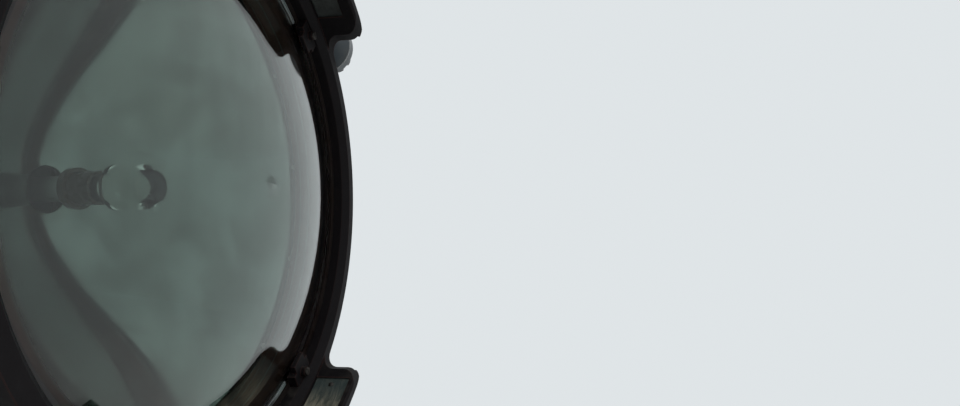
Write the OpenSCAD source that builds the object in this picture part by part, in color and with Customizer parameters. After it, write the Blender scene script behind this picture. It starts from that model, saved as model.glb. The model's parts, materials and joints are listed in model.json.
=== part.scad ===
// Rotating lighthouse beacon: a drum lantern with a domed glass door, on a
// yoke, a turntable and a floor pedestal. Millimetres, +Z up. The origin is
// the centre of the base flange's underside. The drum's axis runs along Y
// and the glass door faces -Y.

/* [Pedestal] */
// Height of the drum axis above the floor
axis_h = 1550; // [1500:10:1700]
// Diameter of the base flange
base_d = 560; // [540:10:640]
// Thickness of the base flange
base_t = 24; // [18:1:32]
// Pitch circle of the holding-down bolts
bolt_pcd = 490; // [470:5:500]
// Number of holding-down bolts
bolt_n = 8; // [6:1:12]
// Diameter of a holding-down bolt hole
bolt_d = 22; // [16:1:26]
// Diameter of the column at its foot
column_foot_d = 380; // [350:5:400]
// Diameter of the column at its top
column_top_d = 250; // [230:5:270]
// Height of the column casting
column_h = 720; // [640:10:760]
// Wall of the column casting
column_wall = 12; // [8:1:16]
// Thickness of the foot gussets
gusset_t = 14; // [10:1:20]
// Width of the access cover
access_w = 150; // [120:5:170]
// Height of the access cover
access_h = 230; // [180:10:280]

/* [Bearing head and drive] */
// Height of the bearing head
head_h = 120; // [110:2:150]
// Diameter of the head's top flange
head_d = 400; // [380:5:410]
// Diameter of the vertical spindle
spindle_d = 90; // [70:2:110]
// Diameter of the drive motor
motor_d = 96; // [80:2:104]
// Length of the drive motor
motor_len = 190; // [150:5:220]

/* [Turntable and yoke] */
// Diameter of the turntable
table_d = 480; // [460:5:520]
// Thickness of the turntable plate
table_t = 24; // [18:1:30]
// Height of the turntable's skirt
skirt_h = 30; // [20:1:36]
// Height of the yoke's cross beam
beam_h = 60; // [50:2:76]
// Width of the yoke's cross beam
beam_w = 170; // [150:5:200]
// Distance from the drum's shell to the middle of a yoke arm
arm_gap = 110; // [103:1:130]
// Thickness of a yoke arm
arm_t = 40; // [32:1:46]
// Width of a yoke arm at its foot
arm_foot_w = 190; // [160:5:220]
// Radius of the bearing boss on top of an arm
arm_boss_r = 58; // [50:1:66]
// Web left between the pockets of an arm
arm_web = 14; // [10:1:20]

/* [Drum] */
// Outer radius of the drum shell
shell_r = 322; // [316:1:328]
// Sheet thickness of the drum shell
shell_t = 5; // [3:0.5:8]
// Length of the shell in front of the trunnions
shell_front = 215; // [205:5:240]
// Length of the shell behind the trunnions
shell_back = 240; // [220:5:280]
// Thickness of the drum's front flange
flange_t = 15; // [12:1:20]
// Depth of the domed rear cover
rear_sag = 70; // [50:2:90]
// Diameter of a trunnion journal
journal_d = 44; // [36:1:50]
// Tilt range either way, in degrees
tilt_range = 10; // [5:1:12]
// Radius of the tilt quadrant's slot
slot_r = 170; // [150:2:190]
// Outer diameter of the ventilator neck
vent_d = 120; // [100:2:140]
// Height of the ventilator above the shell
vent_h = 84; // [70:2:110]

/* [Optic] */
// Distance from the drum shell's outside to the reflector's mouth
mirror_inset = 32; // [30:1:40]
// Focal length of the reflector
focal_len = 115; // [100:1:130]
// Thickness of the reflector
mirror_t = 4; // [3:0.5:6]
// Diameter of the lamp
lamp_d = 56; // [40:1:64]

/* [Glass door] */
// How far the door ring stands out past the drum's shell
ring_lap = 23; // [20:1:28]
// Depth of the door ring behind its side notches
ring_depth = 60; // [54:1:70]
// How far the hoods stand forward of the side notches
hood_depth = 60; // [40:1:75]
// Wall of a hood
hood_wall = 13; // [11:1:16]
// Distance from the top of the door ring down to a side notch
notch_drop = 90; // [75:1:109]
// Height of the notches' middle above the drum's axis
notch_rise = 11; // [0:1:14]
// Radius of the hollow corner at the bottom of a notch
notch_fillet_r = 20; // [10:1:24]
// Radius of the round corner at the front of a hood
hood_corner_r = 24; // [8:1:26]
// Distance from the drum shell's outside in to the glass's edge
glass_inset = 8; // [6:1:14]
// Thickness of the glass
glass_t = 8; // [6:0.5:10]
// How far the glass domes forward
glass_sag = 58; // [40:1:70]
// Height of the hinge knuckles above and below the axis
hinge_y = 150; // [120:5:170]
// Diameter of a hinge pin
pin_d = 14; // [10:1:18]
// Distance from the top of the door ring down to the upper latch
latch_up_drop = 70; // [65:1:79]
// Distance from the bottom of the door ring up to the lower latch
latch_low_rise = 45; // [39:1:53]
// Radius of a latch plate's round end
latch_r = 44; // [36:1:46]

/* [Hidden] */
$fn = 96;

// Clearances
run_fit = 0.05;      // radial, between a pin and its bore
seat_gap = 0.3;      // between faces that meet on different bodies
slip = 0.3;          // radial, between nested pieces of one body
seat = 0.1;          // between curved faces that lie on each other
sweep_gap = 6;       // between broad faces that turn past each other
cut = 1;             // how far a cutter overruns a face

// Radii and distances that follow the drum's shell
ring_r = shell_r + ring_lap;
glass_r = shell_r - glass_inset;
mirror_r = shell_r - mirror_inset;
arm_x = shell_r + arm_gap;
notch_half = ring_r - notch_drop;
latch_up_y = ring_r - latch_up_drop;
latch_low_y = ring_r - latch_low_rise;

// Levels of the pedestal and the turntable
column_z = base_t;
head_z = column_z + column_h;
head_top = head_z + head_h;
table_z = head_top + sweep_gap;
beam_z = table_z + table_t;
arm_z = beam_z + beam_h;

// Column's openings
access_rim = 14;
gland_h = 130;
cable_r = 9;

// Bearing head
head_foot_r = column_top_d / 2 + 25;
head_foot_t = 26;
head_waist_r = column_top_d / 2 - 5;
head_fillet = 12;
head_top_t = 34;
thrust_r = 70;

// Drive
drive_y = head_foot_r + 62;
drive_w = 140;
drive_drop = 54;
drive_r = 62;
drive_top = head_h - head_top_t - 24;

// Yoke
arm_foot_t = 16;
arm_foot_w2 = arm_foot_w + 40;
arm_foot_x = 84;
beam_half = arm_x + arm_foot_x / 2 + 6;
beam_end_h = 30;
boss_proud = 8;
arm_in = arm_x - arm_t / 2;
arm_out = arm_x + arm_t / 2;
boss_in = arm_in - boss_proud;
boss_out = arm_out + boss_proud;
journal_end = boss_out - 4;
cap_t = 12;

// Drum, measured along its axis: forward is positive, the trunnions are at 0
flange_front = shell_front + flange_t;
flange_bore_r = shell_r - 25;
shell_in = shell_r - shell_t;
rear_ring_t = 12;
rear_ring_r = shell_r + 18;
rear_t = 5;
rear_dome_r = shell_r - 22;
collar_r = journal_d / 2 + 18;
trunnion_boss_r = collar_r + 18;
saddle_r = collar_r + 46;
boss_face = shell_r + 28;
quadrant_t = 10;
slot_half = 7;
stud_r = 6;
vent_z = -60;
vent_foot_r = vent_d / 2 + 26;
bead_h = 4;
bead_w = 14;
bead_back = -162;
bead_front = 120;

// Optic
mirror_rim_t = 3;
rim_w = 14;
mirror_rim = shell_front - 15;
mirror_vertex = mirror_rim - pow(mirror_r, 2) / (4 * focal_len);
focus = mirror_vertex + focal_len;
stem_r = 16;
stem_back = -190;
spider_z = -120;
socket_len = 36;
bulb_len = 84;
bulb_back = focus - 40;

// Door, measured along the drum's axis
door_gap = 0.5;
door_back = flange_front + door_gap;
ring_front = door_back + ring_depth;
hood_front = ring_front + hood_depth;
shelf_t = 20;
shelf_r = glass_r - 17;
shelf_z = door_back + shelf_t;
gasket_t = 4;
pocket_r = glass_r + 4;
glass_back = shelf_z + gasket_t;
glass_front = glass_back + glass_t;
dome_r = glass_r - 12;
chamfer = 10;
hood_in = ring_r - hood_wall;
lip_h = 4;
lip_w = 12;
upper_border_front = 20;
upper_border_side = 18;
lower_border_front = 9;
lower_border_side = 11;
recess = 5;
liner_t = 2.4;
liner_r = hood_in + recess - slip;
bezel_t = 4;
clip_up_angle = 56;
clip_low_angle = 52;
clip_w = 44;

// Hinge on the door's left side
hinge_x = -(ring_r + 22);
knuckle_r = pin_d / 2 + 7;
door_knuckle = 40;
side_knuckle = 24;
knuckle_gap = 0.5;

// Latches on the door's right side
latch_plate_t = 14;
latch_plate_x = shell_r - 57;
latch_z = ring_front - 27;
lug_gap = 11;
lug_face = latch_plate_x - lug_gap;
latch_screw_r = 8;
knob_r = 28;

// Sets a child on the drum's axis: x stays, y is up and z points forward
module on_axis() { translate([0, 0, axis_h]) rotate([90, 0, 0]) children(); }

// Turns a flat outline drawn as (up, forward) into a plate standing across X
module across_x(x0, t) { translate([x0, 0, 0]) rotate([90, 0, 90]) linear_extrude(t) children(); }

// A rod along X
module rod_x(x0, x1, r) { translate([x0, 0, 0]) rotate([0, 90, 0]) cylinder(h = x1 - x0, r = r); }

// A rod that stands upright in the drum's own frame
module rod_up(y0, y1, r) { translate([0, y0, 0]) rotate([-90, 0, 0]) cylinder(h = y1 - y0, r = r); }

// A ring around the current axis
module ring(r_out, r_in, h) {
    difference() {
        cylinder(h = h, r = r_out);
        translate([0, 0, -cut]) cylinder(h = h + 2 * cut, r = r_in);
    }
}

// Shallow cap of a sphere that bulges forward from a circle of radius r
module cap_shell(r, sag, t) {
    ball = (r * r + sag * sag) / (2 * sag);
    intersection() {
        translate([0, 0, sag - ball]) difference() {
            sphere(r = ball, $fn = 192);
            sphere(r = ball - t, $fn = 192);
        }
        translate([0, 0, -t]) cylinder(h = sag + 2 * t, r = r);
    }
}

// Pedestal
module base_flange() {
    color("gainsboro") difference() {
        union() {
            cylinder(h = base_t * 0.75, d = base_d);
            cylinder(h = base_t, d = base_d - 16);
        }
        translate([0, 0, -cut]) cylinder(h = base_t + 2 * cut, d = column_foot_d - 80);
        for (i = [0:bolt_n - 1]) rotate(i * 360 / bolt_n + 180 / bolt_n)
            translate([bolt_pcd / 2, 0, -cut]) cylinder(h = base_t + 2 * cut, d = bolt_d);
    }
}

module gusset() {
    reach = base_d / 2 - 24;
    foot = column_foot_d / 2 - column_wall;
    rotate([90, 0, 0]) translate([0, 0, -gusset_t / 2]) linear_extrude(gusset_t)
        polygon([[foot, 0], [reach, 0], [reach, 16], [foot + 20, 190], [foot - 16, 190]]);
}

module column_cone(inset, over) {
    translate([0, 0, -over])
        cylinder(h = column_h + 2 * over, d1 = column_foot_d - 2 * inset, d2 = column_top_d - 2 * inset);
}

module pedestal_column() {
    color("gainsboro") translate([0, 0, column_z]) difference() {
        union() {
            column_cone(0, 0);
            cylinder(h = 18, d = column_foot_d + 40);
            translate([0, 0, column_h - 20]) cylinder(h = 20, r = head_foot_r);
            for (a = [45, 135, 225, 315]) rotate(a) gusset();
            translate([-access_w / 2 - 12, -access_face(), access_mid() - access_h / 2 - 12])
                cube([access_w + 24, 60, access_h + 24]);
        }
        column_cone(column_wall, cut);
        translate([0, -access_face() - cut, access_mid()])
            translate([-access_w / 2 + access_rim, 0, -access_h / 2 + access_rim])
                cube([access_w - 2 * access_rim, 80, access_h - 2 * access_rim]);
        translate([0, 0, gland_h]) rotate([-90, 0, 0]) cylinder(h = column_foot_d, r = cable_r + 3);
    }
}

function access_mid() = 330;
function access_face() = column_foot_d / 2 - 12;

module access_cover() {
    color("silver") translate([0, -access_face(), column_z + access_mid()]) union() {
        translate([-access_w / 2, -6, -access_h / 2]) cube([access_w, 6, access_h]);
        translate([-access_w / 2 + access_rim + 0.5, 0, -access_h / 2 + access_rim + 0.5])
            cube([access_w - 2 * access_rim - 1, 8, access_h - 2 * access_rim - 1]);
        for (x = [-1, 1], z = [-1, 1])
            translate([x * (access_w / 2 - 10), -6, z * (access_h / 2 - 10)])
                rotate([90, 0, 0]) cylinder(h = 4, r = 6);
    }
}

module conduit_gland() {
    z = column_z + gland_h;
    color("dimgray") difference() {
        translate([0, 0, z]) rotate([-90, 0, 0]) union() {
            cylinder(h = column_foot_d / 2 + 22, r = 20);
            translate([0, 0, column_foot_d / 2 + 8]) cylinder(h = 16, r = 26, $fn = 6);
            translate([0, 0, column_foot_d / 2 + 22]) cylinder(h = 16, r1 = 20, r2 = 13);
        }
        translate([0, 0, column_z]) column_cone(-seat, cut);
        translate([0, 0, z]) rotate([-90, 0, 0]) cylinder(h = column_foot_d, r = cable_r);
    }
}

// Bearing head and drive
module bearing_head() {
    color("gainsboro") translate([0, 0, head_z]) difference() {
        rotate_extrude() polygon([
            [0, 0], [head_foot_r, 0], [head_foot_r, head_foot_t], [head_waist_r + head_fillet, head_foot_t],
            [head_waist_r, head_foot_t + head_fillet], [head_waist_r, head_h - head_top_t - 22],
            [head_d / 2 - 30, head_h - head_top_t], [head_d / 2, head_h - head_top_t + 6],
            [head_d / 2, head_h - 5], [head_d / 2 - 5, head_h], [0, head_h]]);
        translate([0, 0, -cut]) cylinder(h = head_h + 2 * cut, r = spindle_d / 2 + run_fit);
    }
}

module drive_gearbox() {
    shelf = 36;
    color("darkgray") translate([0, 0, head_z]) difference() {
        union() {
            translate([-drive_w / 2, 60, head_foot_t]) cube([drive_w, drive_y - 60, shelf]);
            translate([0, drive_y, -drive_drop]) cylinder(h = drive_drop + drive_top, r = drive_r);
            translate([0, drive_y, drive_top]) cylinder(h = 10, r = 40);
        }
        translate([0, 0, head_foot_t - cut]) cylinder(h = head_h, r = head_waist_r + head_fillet + slip);
        translate([0, 0, -drive_drop - cut])
            cylinder(h = drive_drop + head_foot_t + cut, r = head_foot_r + slip);
    }
}

module drive_motor() {
    r = motor_d / 2;
    color("slategray") translate([0, drive_y, head_z - drive_drop - motor_len]) difference() {
        union() {
            cylinder(h = 40, r = r);
            translate([0, 0, 40]) cylinder(h = motor_len - 52, r = r - 4);
            translate([0, 0, motor_len - 12]) cylinder(h = 12, r = r);
            for (a = [0:30:330]) rotate(a) translate([r - 6, -2, 38]) cube([5, 4, motor_len - 48]);
        }
        translate([0, 0, -cut]) cylinder(h = 7, r = r - 8);
    }
}

// Turntable and yoke
module spindle() {
    color("lightsteelblue") union() {
        translate([0, 0, head_z + 10]) cylinder(h = head_h - 10 + seat_gap, d = spindle_d);
        translate([0, 0, head_top + seat_gap]) cylinder(h = sweep_gap - seat_gap, r = thrust_r);
    }
}

module turntable() {
    color("gainsboro") translate([0, 0, table_z]) difference() {
        union() {
            cylinder(h = table_t, d = table_d);
            translate([0, 0, -skirt_h]) ring(table_d / 2, table_d / 2 - 12, skirt_h + cut);
        }
        for (a = [0:60:300]) rotate(a + 30) translate([table_d / 2 - 28, 0, table_t - 6])
            cylinder(h = 6 + cut, r = 9);
    }
}

module yoke_beam() {
    foot = table_d / 2;
    color("gainsboro") translate([0, 0, beam_z]) difference() {
        translate([0, beam_w / 2, 0]) rotate([90, 0, 0]) linear_extrude(beam_w)
            polygon([[-beam_half, beam_h], [-beam_half, beam_h - beam_end_h], [-foot, 0],
                     [foot, 0], [beam_half, beam_h - beam_end_h], [beam_half, beam_h]]);
        for (s = [-1, 1]) translate([s * (foot / 2 + 10), 0, beam_h - 34]) cylinder(h = 34 + cut, r = 46);
        translate([0, 0, beam_h - 34]) cylinder(h = 34 + cut, r = 52);
    }
}

// Touching point on a circle of radius r at the origin, of a line from (px, py)
function tangent(px, py, r) =
    let (d = norm([px, py]), a = atan2(py, px) + acos(r / d)) [r * cos(a), r * sin(a)];

// Outline of an arm as (y, height from the bearing), drawn in by an inset
module arm_outline(inset) {
    reach = axis_h - arm_z - inset;
    half = arm_foot_w / 2 - inset;
    top = tangent(half, -reach, arm_boss_r - inset);
    union() {
        polygon([[-half, -reach], [half, -reach], top, [-top[0], top[1]]]);
        circle(r = arm_boss_r - inset);
    }
}

// An arm for the right side: the left one is its mirror image
module yoke_arm_body() {
    stud_hole = stud_r + run_fit;
    translate([0, 0, axis_h]) difference() {
        union() {
            across_x(arm_in, arm_t) arm_outline(0);
            rod_x(boss_in, boss_out, arm_boss_r - 4);
            translate([arm_x - arm_foot_x / 2, -arm_foot_w2 / 2, arm_z - axis_h])
                cube([arm_foot_x, arm_foot_w2, arm_foot_t]);
        }
        for (x = [arm_in - cut, arm_out - (arm_t - arm_web) / 2])
            difference() {
                across_x(x, (arm_t - arm_web) / 2 + cut) arm_outline(14);
                rod_x(0, arm_out + 20, arm_boss_r - 4);
                translate([0, 0, arm_z - axis_h]) translate([0, -arm_foot_w, 0])
                    cube([arm_out + 20, 2 * arm_foot_w, arm_foot_t + 8]);
                translate([0, 0, -slot_r]) rod_x(0, arm_out + 20, 24);
            }
        rod_x(boss_in - cut, boss_out + cut, journal_d / 2 + run_fit);
        translate([0, 0, -slot_r]) rod_x(arm_in - cut, arm_out + cut, stud_hole);
    }
}

module yoke_arm_right() { color("gainsboro") yoke_arm_body(); }
module yoke_arm_left() { color("gainsboro") mirror([1, 0, 0]) yoke_arm_body(); }

module bearing_cap_body() {
    translate([0, 0, axis_h]) difference() {
        union() {
            rod_x(boss_out, boss_out + cap_t, arm_boss_r - 6);
            rod_x(boss_out + cap_t - cut, boss_out + cap_t + 6, 20);
        }
        rod_x(boss_out - cut, boss_out + cap_t - 6, journal_d / 2 + 3);
    }
}

module bearing_cap_right() { color("darkgray") bearing_cap_body(); }
module bearing_cap_left() { color("darkgray") mirror([1, 0, 0]) bearing_cap_body(); }

module tilt_clamp() {
    inner = boss_face - 9;
    color("dimgray") translate([0, 0, axis_h - slot_r]) union() {
        rod_x(inner, arm_out + 34, stud_r);
        rod_x(inner, inner + 8, 14);
        rod_x(arm_out, arm_out + 4, 20);
        rod_x(arm_out + 4, arm_out + 26, 15);
        translate([arm_out + 16, 0, 0]) rotate([-55, 0, 0]) cylinder(h = 74, r = 5);
        translate([arm_out + 16, 0, 0]) rotate([-55, 0, 0]) translate([0, 0, 80]) sphere(r = 13);
    }
}

// Drum
module drum_shell() {
    color("gainsboro") on_axis() difference() {
        union() {
            translate([0, 0, -shell_back]) ring(shell_r, shell_in, shell_back + shell_front);
            for (z = [bead_back, bead_front]) translate([0, 0, z]) rotate_extrude()
                polygon([[shell_r - 1, -bead_w / 2], [shell_r + bead_h, -bead_w / 4],
                         [shell_r + bead_h, bead_w / 4], [shell_r - 1, bead_w / 2]]);
        }
        translate([0, 0, vent_z]) rod_up(shell_r / 2, shell_r + 20, vent_d / 2 - 12);
    }
}

module drum_front_flange() {
    color("gainsboro") on_axis() union() {
        translate([0, 0, shell_front]) ring(ring_r, flange_bore_r, flange_t);
        translate([0, 0, mirror_rim + mirror_rim_t + 0.5])
            ring(shell_in - slip, shell_in - 15, shell_front - mirror_rim - mirror_rim_t);
    }
}

module drum_rear_ring() {
    color("gainsboro") on_axis() translate([0, 0, -shell_back - rear_ring_t])
        ring(rear_ring_r, rear_dome_r, rear_ring_t);
}

module rear_cover() {
    color("gainsboro") on_axis() translate([0, 0, -shell_back - rear_ring_t]) mirror([0, 0, 1]) union() {
        ring(rear_ring_r - 6, rear_dome_r - 8, rear_t);
        translate([0, 0, rear_t]) cap_shell(rear_dome_r, rear_sag, rear_t);
    }
}

module rear_handle() {
    back = -shell_back - rear_ring_t - rear_t - rear_sag;
    half = 70;
    ball = (rear_dome_r * rear_dome_r + rear_sag * rear_sag) / (2 * rear_sag);
    color("dimgray") on_axis() union() {
        difference() {
            for (s = [-1, 1]) translate([s * half, 0, back - 36]) cylinder(h = 60, r = 8);
            translate([0, 0, back + ball]) sphere(r = ball + seat, $fn = 192);
        }
        translate([0, 0, back - 36]) rod_x(-half, half, 8);
        for (s = [-1, 1]) translate([s * half, 0, back - 36]) sphere(r = 8);
    }
}

module trunnion_body() {
    on_axis() difference() {
        union() {
            rod_x(shell_r - 40, boss_face, trunnion_boss_r);
            rod_x(boss_face, boss_in - 2, collar_r);
            rod_x(boss_in - 2 - cut, journal_end, journal_d / 2);
            intersection() {
                rod_x(0, shell_r + 30, saddle_r);
                translate([0, 0, -saddle_r - cut]) cylinder(h = 2 * (saddle_r + cut), r = shell_r + 8);
            }
        }
        translate([0, 0, -shell_back]) cylinder(h = shell_back + shell_front, r = shell_r + seat);
    }
}

module trunnion_right() { color("gainsboro") trunnion_body(); }
module trunnion_left() { color("gainsboro") mirror([1, 0, 0]) trunnion_body(); }

module wedge_down(half_angle, r) {
    polygon([[0, 0], [-r * sin(half_angle), -r * cos(half_angle)], [0, -r * 1.1],
             [r * sin(half_angle), -r * cos(half_angle)]]);
}

function polar(r, a) = [r * cos(a), r * sin(a)];

// A curved slot with round ends, centred straight below the origin
module slot_outline(r, half, span) {
    steps = 16;
    ends = 8;
    outer = [for (i = [0:steps]) polar(r + half, -90 - span + 2 * span * i / steps)];
    right = [for (i = [1:ends - 1]) polar(r, -90 + span) + polar(half, -90 + span + 180 * i / ends)];
    inner = [for (i = [0:steps]) polar(r - half, -90 + span - 2 * span * i / steps)];
    left = [for (i = [1:ends - 1]) polar(r, -90 - span) + polar(half, 90 - span + 180 * i / ends)];
    polygon(concat(outer, right, inner, left));
}

module tilt_quadrant() {
    edge = slot_r + slot_half + 14;
    color("darkgray") translate([0, 0, axis_h]) across_x(boss_face, quadrant_t) difference() {
        union() {
            circle(r = collar_r + 17);
            intersection() {
                circle(r = edge);
                wedge_down(tilt_range + 13, edge * 1.5);
            }
        }
        circle(r = collar_r + slip);
        slot_outline(slot_r, slot_half, tilt_range + 3);
    }
}

module vent_neck() {
    color("gainsboro") on_axis() translate([0, 0, vent_z]) difference() {
        union() {
            rod_up(shell_r - 40, shell_r + vent_h, vent_d / 2);
            intersection() {
                rod_up(0, shell_r + 30, vent_foot_r);
                translate([0, 0, -vent_foot_r - cut]) cylinder(h = 2 * (vent_foot_r + cut), r = shell_r + 6);
            }
        }
        translate([0, 0, -shell_back]) cylinder(h = shell_back + shell_front, r = shell_r + seat);
        rod_up(0, shell_r + vent_h + cut, vent_d / 2 - 12);
    }
}

module vent_cowl() {
    r = vent_d / 2;
    skirt_r = r + 42;
    color("gainsboro") translate([0, -vent_z, axis_h + shell_r + vent_h]) union() {
        rotate_extrude() polygon([
            [0, 24], [r * 0.7, 20], [skirt_r - 14, 6], [skirt_r - 4, -30], [skirt_r, -30],
            [skirt_r - 9, 10], [r * 0.8, 28], [0, 34]]);
        for (a = [45:90:315]) rotate(a) difference() {
            translate([r - 14, -2.5, 0]) cube([skirt_r - r + 2, 5, 20]);
            translate([skirt_r - 12, -6, -1]) rotate([0, 18, 0]) cube([30, 12, 40]);
            translate([r - 20, -6, 18]) rotate([0, 14, 0]) cube([90, 12, 30]);
        }
    }
}

// Optic
function mirror_z(r) = mirror_vertex + r * r / (4 * focal_len);
function mirror_slant(r) = sqrt(1 + pow(r / (2 * focal_len), 2));

module reflector() {
    bore = 30;
    steps = 20;
    radii = [for (i = [0:steps]) bore + (mirror_r - bore) * i / steps];
    inside = [for (r = radii) [r, mirror_z(r)]];
    outside = [for (i = [steps:-1:0]) [radii[i], mirror_z(radii[i]) - mirror_t * mirror_slant(radii[i])]];
    rim = [[mirror_r, mirror_rim + mirror_rim_t], [mirror_r + rim_w, mirror_rim + mirror_rim_t],
           [mirror_r + rim_w, mirror_rim], [mirror_r + mirror_t, mirror_rim]];
    color("white") on_axis() rotate_extrude() polygon(concat(inside, rim, outside));
}

module reflector_ring() {
    color("darkgray") on_axis() translate([0, 0, mirror_rim - 12])
        ring(shell_in - slip, mirror_r + 6, 12);
}

module lamp_spider() {
    color("darkgray") on_axis() translate([0, 0, spider_z]) difference() {
        union() {
            translate([0, 0, -14]) cylinder(h = 28, r = 34);
            for (a = [90, 210, 330]) rotate(a) {
                translate([20, -13, -4]) cube([shell_in - slip - 26, 26, 8]);
                intersection() {
                    translate([shell_in - 20, -24, -16]) cube([30, 48, 32]);
                    translate([0, 0, -16]) ring(shell_in - slip, shell_in - 8, 32);
                }
            }
        }
        translate([0, 0, -20]) cylinder(h = 40, r = stem_r + run_fit);
    }
}

module lamp_stem() {
    color("silver") on_axis() difference() {
        union() {
            translate([0, 0, stem_back]) cylinder(h = bulb_back - socket_len - stem_back, r = stem_r);
            translate([0, 0, stem_back - 10]) cylinder(h = 10, r = 24);
        }
        translate([0, 0, stem_back - 10 - cut]) cylinder(h = 60, r = stem_r - 6);
    }
}

module lamp_socket() {
    color("peru") on_axis() translate([0, 0, bulb_back - socket_len]) union() {
        cylinder(h = 8, r = 26);
        translate([0, 0, 8]) cylinder(h = socket_len - 8, r = 21);
    }
}

module lamp_bulb() {
    r = lamp_d / 2;
    color("lightyellow") on_axis() translate([0, 0, bulb_back]) union() {
        cylinder(h = 10, r = 17);
        translate([0, 0, 10]) cylinder(h = 12, r1 = 17, r2 = r);
        translate([0, 0, 22]) cylinder(h = bulb_len - 22 - r, r = r);
        translate([0, 0, bulb_len - r]) sphere(r = r);
    }
}

// Hinge brackets on the drum, and their pins
module hinge_bracket() {
    reach = door_knuckle / 2 + knuckle_gap + side_knuckle;
    difference() {
        union() {
            rod_up(-reach, reach, knuckle_r);
            translate([0, -reach, -23]) cube([90, 2 * reach, 22.5]);
        }
        rod_up(-reach - cut, reach + cut, pin_d / 2 + run_fit);
        translate([-knuckle_r - cut, -door_knuckle / 2 - knuckle_gap, -30])
            cube([knuckle_r + 27, door_knuckle + 2 * knuckle_gap, 60]);
    }
}

module hinge_brackets() {
    color("gainsboro") on_axis() difference() {
        for (s = [-1, 1]) translate([hinge_x, s * hinge_y, flange_front]) hinge_bracket();
        cylinder(h = flange_front + 20, r = ring_r + seat);
    }
}

module hinge_pins() {
    reach = door_knuckle / 2 + knuckle_gap + side_knuckle;
    color("silver") on_axis() for (s = [-1, 1]) translate([hinge_x, s * hinge_y, flange_front]) union() {
        rod_up(-reach - 6, reach, pin_d / 2);
        rod_up(reach, reach + 6, pin_d / 2 + 4);
    }
}

// Latches: a round-ended plate on the drum, its hand screw, and a lug on the door
module latch_plate(y) {
    strap = latch_r - 9;
    back = flange_front - 23;
    on_axis() difference() {
        union() {
            across_x(latch_plate_x, latch_plate_t) union() {
                translate([y, latch_z]) circle(r = latch_r);
                translate([y - strap, back]) square([2 * strap, latch_z - back]);
            }
            translate([latch_plate_x / 3, y - strap, back])
                cube([latch_plate_x * 2 / 3 + cut, 2 * strap, 22.5]);
        }
        cylinder(h = flange_front + 20, r = ring_r + seat);
        translate([0, y, latch_z]) rod_x(0, latch_plate_x + 40, latch_screw_r + run_fit);
    }
}

module latch_plate_upper() { color("lightgray") latch_plate(latch_up_y); }
module latch_plate_lower() { color("lightgray") latch_plate(-latch_low_y); }

module latch_screw(y) {
    outer = latch_plate_x + latch_plate_t;
    on_axis() translate([0, y, latch_z]) difference() {
        union() {
            rod_x(lug_face + seat_gap, outer + 20, latch_screw_r);
            rod_x(outer + 0.2, outer + 14, latch_screw_r + 6);
            rod_x(outer + 14, outer + 34, knob_r);
        }
        for (a = [0:45:315]) rotate([a, 0, 0]) translate([0, knob_r + 3, 0]) rod_x(outer + 13, outer + 35, 7);
    }
}

module latch_screw_upper() { color("dimgray") latch_screw(latch_up_y); }
module latch_screw_lower() { color("dimgray") latch_screw(-latch_low_y); }

// The cut that leaves a hood above and below, seen along X
module notch_outline() {
    n = notch_half;
    f = notch_fillet_r;
    c = hood_corner_r;
    over = 20;
    difference() {
        union() {
            translate([-n + f, ring_front]) square([2 * (n - f), hood_depth + over]);
            translate([-n, ring_front + f]) square([2 * n, hood_depth + over - f]);
            for (s = [-1, 1]) translate([s * (n - f), ring_front + f]) circle(r = f);
            translate([-n - c, hood_front - c]) square([2 * (n + c), c + over]);
        }
        for (s = [-1, 1]) translate([s * (n + c), hood_front - c]) circle(r = c);
    }
}

// The cast ring in section, turned about the axis
module ring_section() {
    rotate_extrude($fn = 180) polygon([
        [shelf_r, door_back], [ring_r, door_back],
        [ring_r, hood_front - lip_w], [ring_r + lip_h, hood_front - lip_w + 2],
        [ring_r + lip_h, hood_front - 3], [ring_r + lip_h - 3, hood_front],
        [hood_in + 3, hood_front], [hood_in, hood_front - 3],
        [hood_in, ring_front], [pocket_r + chamfer, ring_front], [pocket_r, ring_front - chamfer],
        [pocket_r, shelf_z], [shelf_r, shelf_z]]);
}

// The hollow behind a hood's plain border, from a height up, grown or shrunk by slack
module hood_panel(r_out, r_in, low, depth, slack) {
    z0 = ring_front + slack;
    intersection() {
        translate([0, 0, z0]) ring(r_out, r_in, depth - 2 * slack);
        translate([-ring_r, low + slack, z0 - cut]) cube([2 * ring_r, ring_r, hood_depth]);
    }
}

module upper_panel(r_out, r_in, slack) {
    hood_panel(r_out, r_in, notch_half + notch_rise + upper_border_side,
               hood_depth - upper_border_front, slack);
}

module lower_panel(r_out, r_in, slack) {
    mirror([0, 1, 0])
        hood_panel(r_out, r_in, notch_half - notch_rise + lower_border_side,
                   hood_depth - lower_border_front, slack);
}

module door_knuckle() {
    half = door_knuckle / 2;
    union() {
        rod_up(-half, half, knuckle_r);
        translate([0, -half, door_gap + 0.5]) cube([74, door_knuckle, 32]);
    }
}

module latch_lug(y, x0) {
    translate([x0, y - 20, latch_z - 14]) cube([lug_face - x0, 40, 24]);
}

module door_ring() {
    color([0.09, 0.09, 0.09]) on_axis() difference() {
        union() {
            ring_section();
            for (s = [-1, 1]) translate([hinge_x, s * hinge_y, flange_front]) door_knuckle();
            latch_lug(latch_up_y, 200);
            latch_lug(-latch_low_y, 168);
        }
        across_x(-ring_r - 20, 2 * ring_r + 40) translate([notch_rise, 0]) notch_outline();
        upper_panel(hood_in + recess, hood_in - 20, 0);
        lower_panel(hood_in + recess, hood_in - 20, 0);
        for (s = [-1, 1]) translate([hinge_x, s * hinge_y - door_knuckle, flange_front])
            rod_up(0, 2 * door_knuckle, pin_d / 2 + run_fit);
    }
}

module hood_liner_upper() { color("dimgray") on_axis() upper_panel(liner_r, liner_r - liner_t, slip); }
module hood_liner_lower() { color("darkkhaki") on_axis() lower_panel(liner_r, liner_r - liner_t, slip); }

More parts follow.
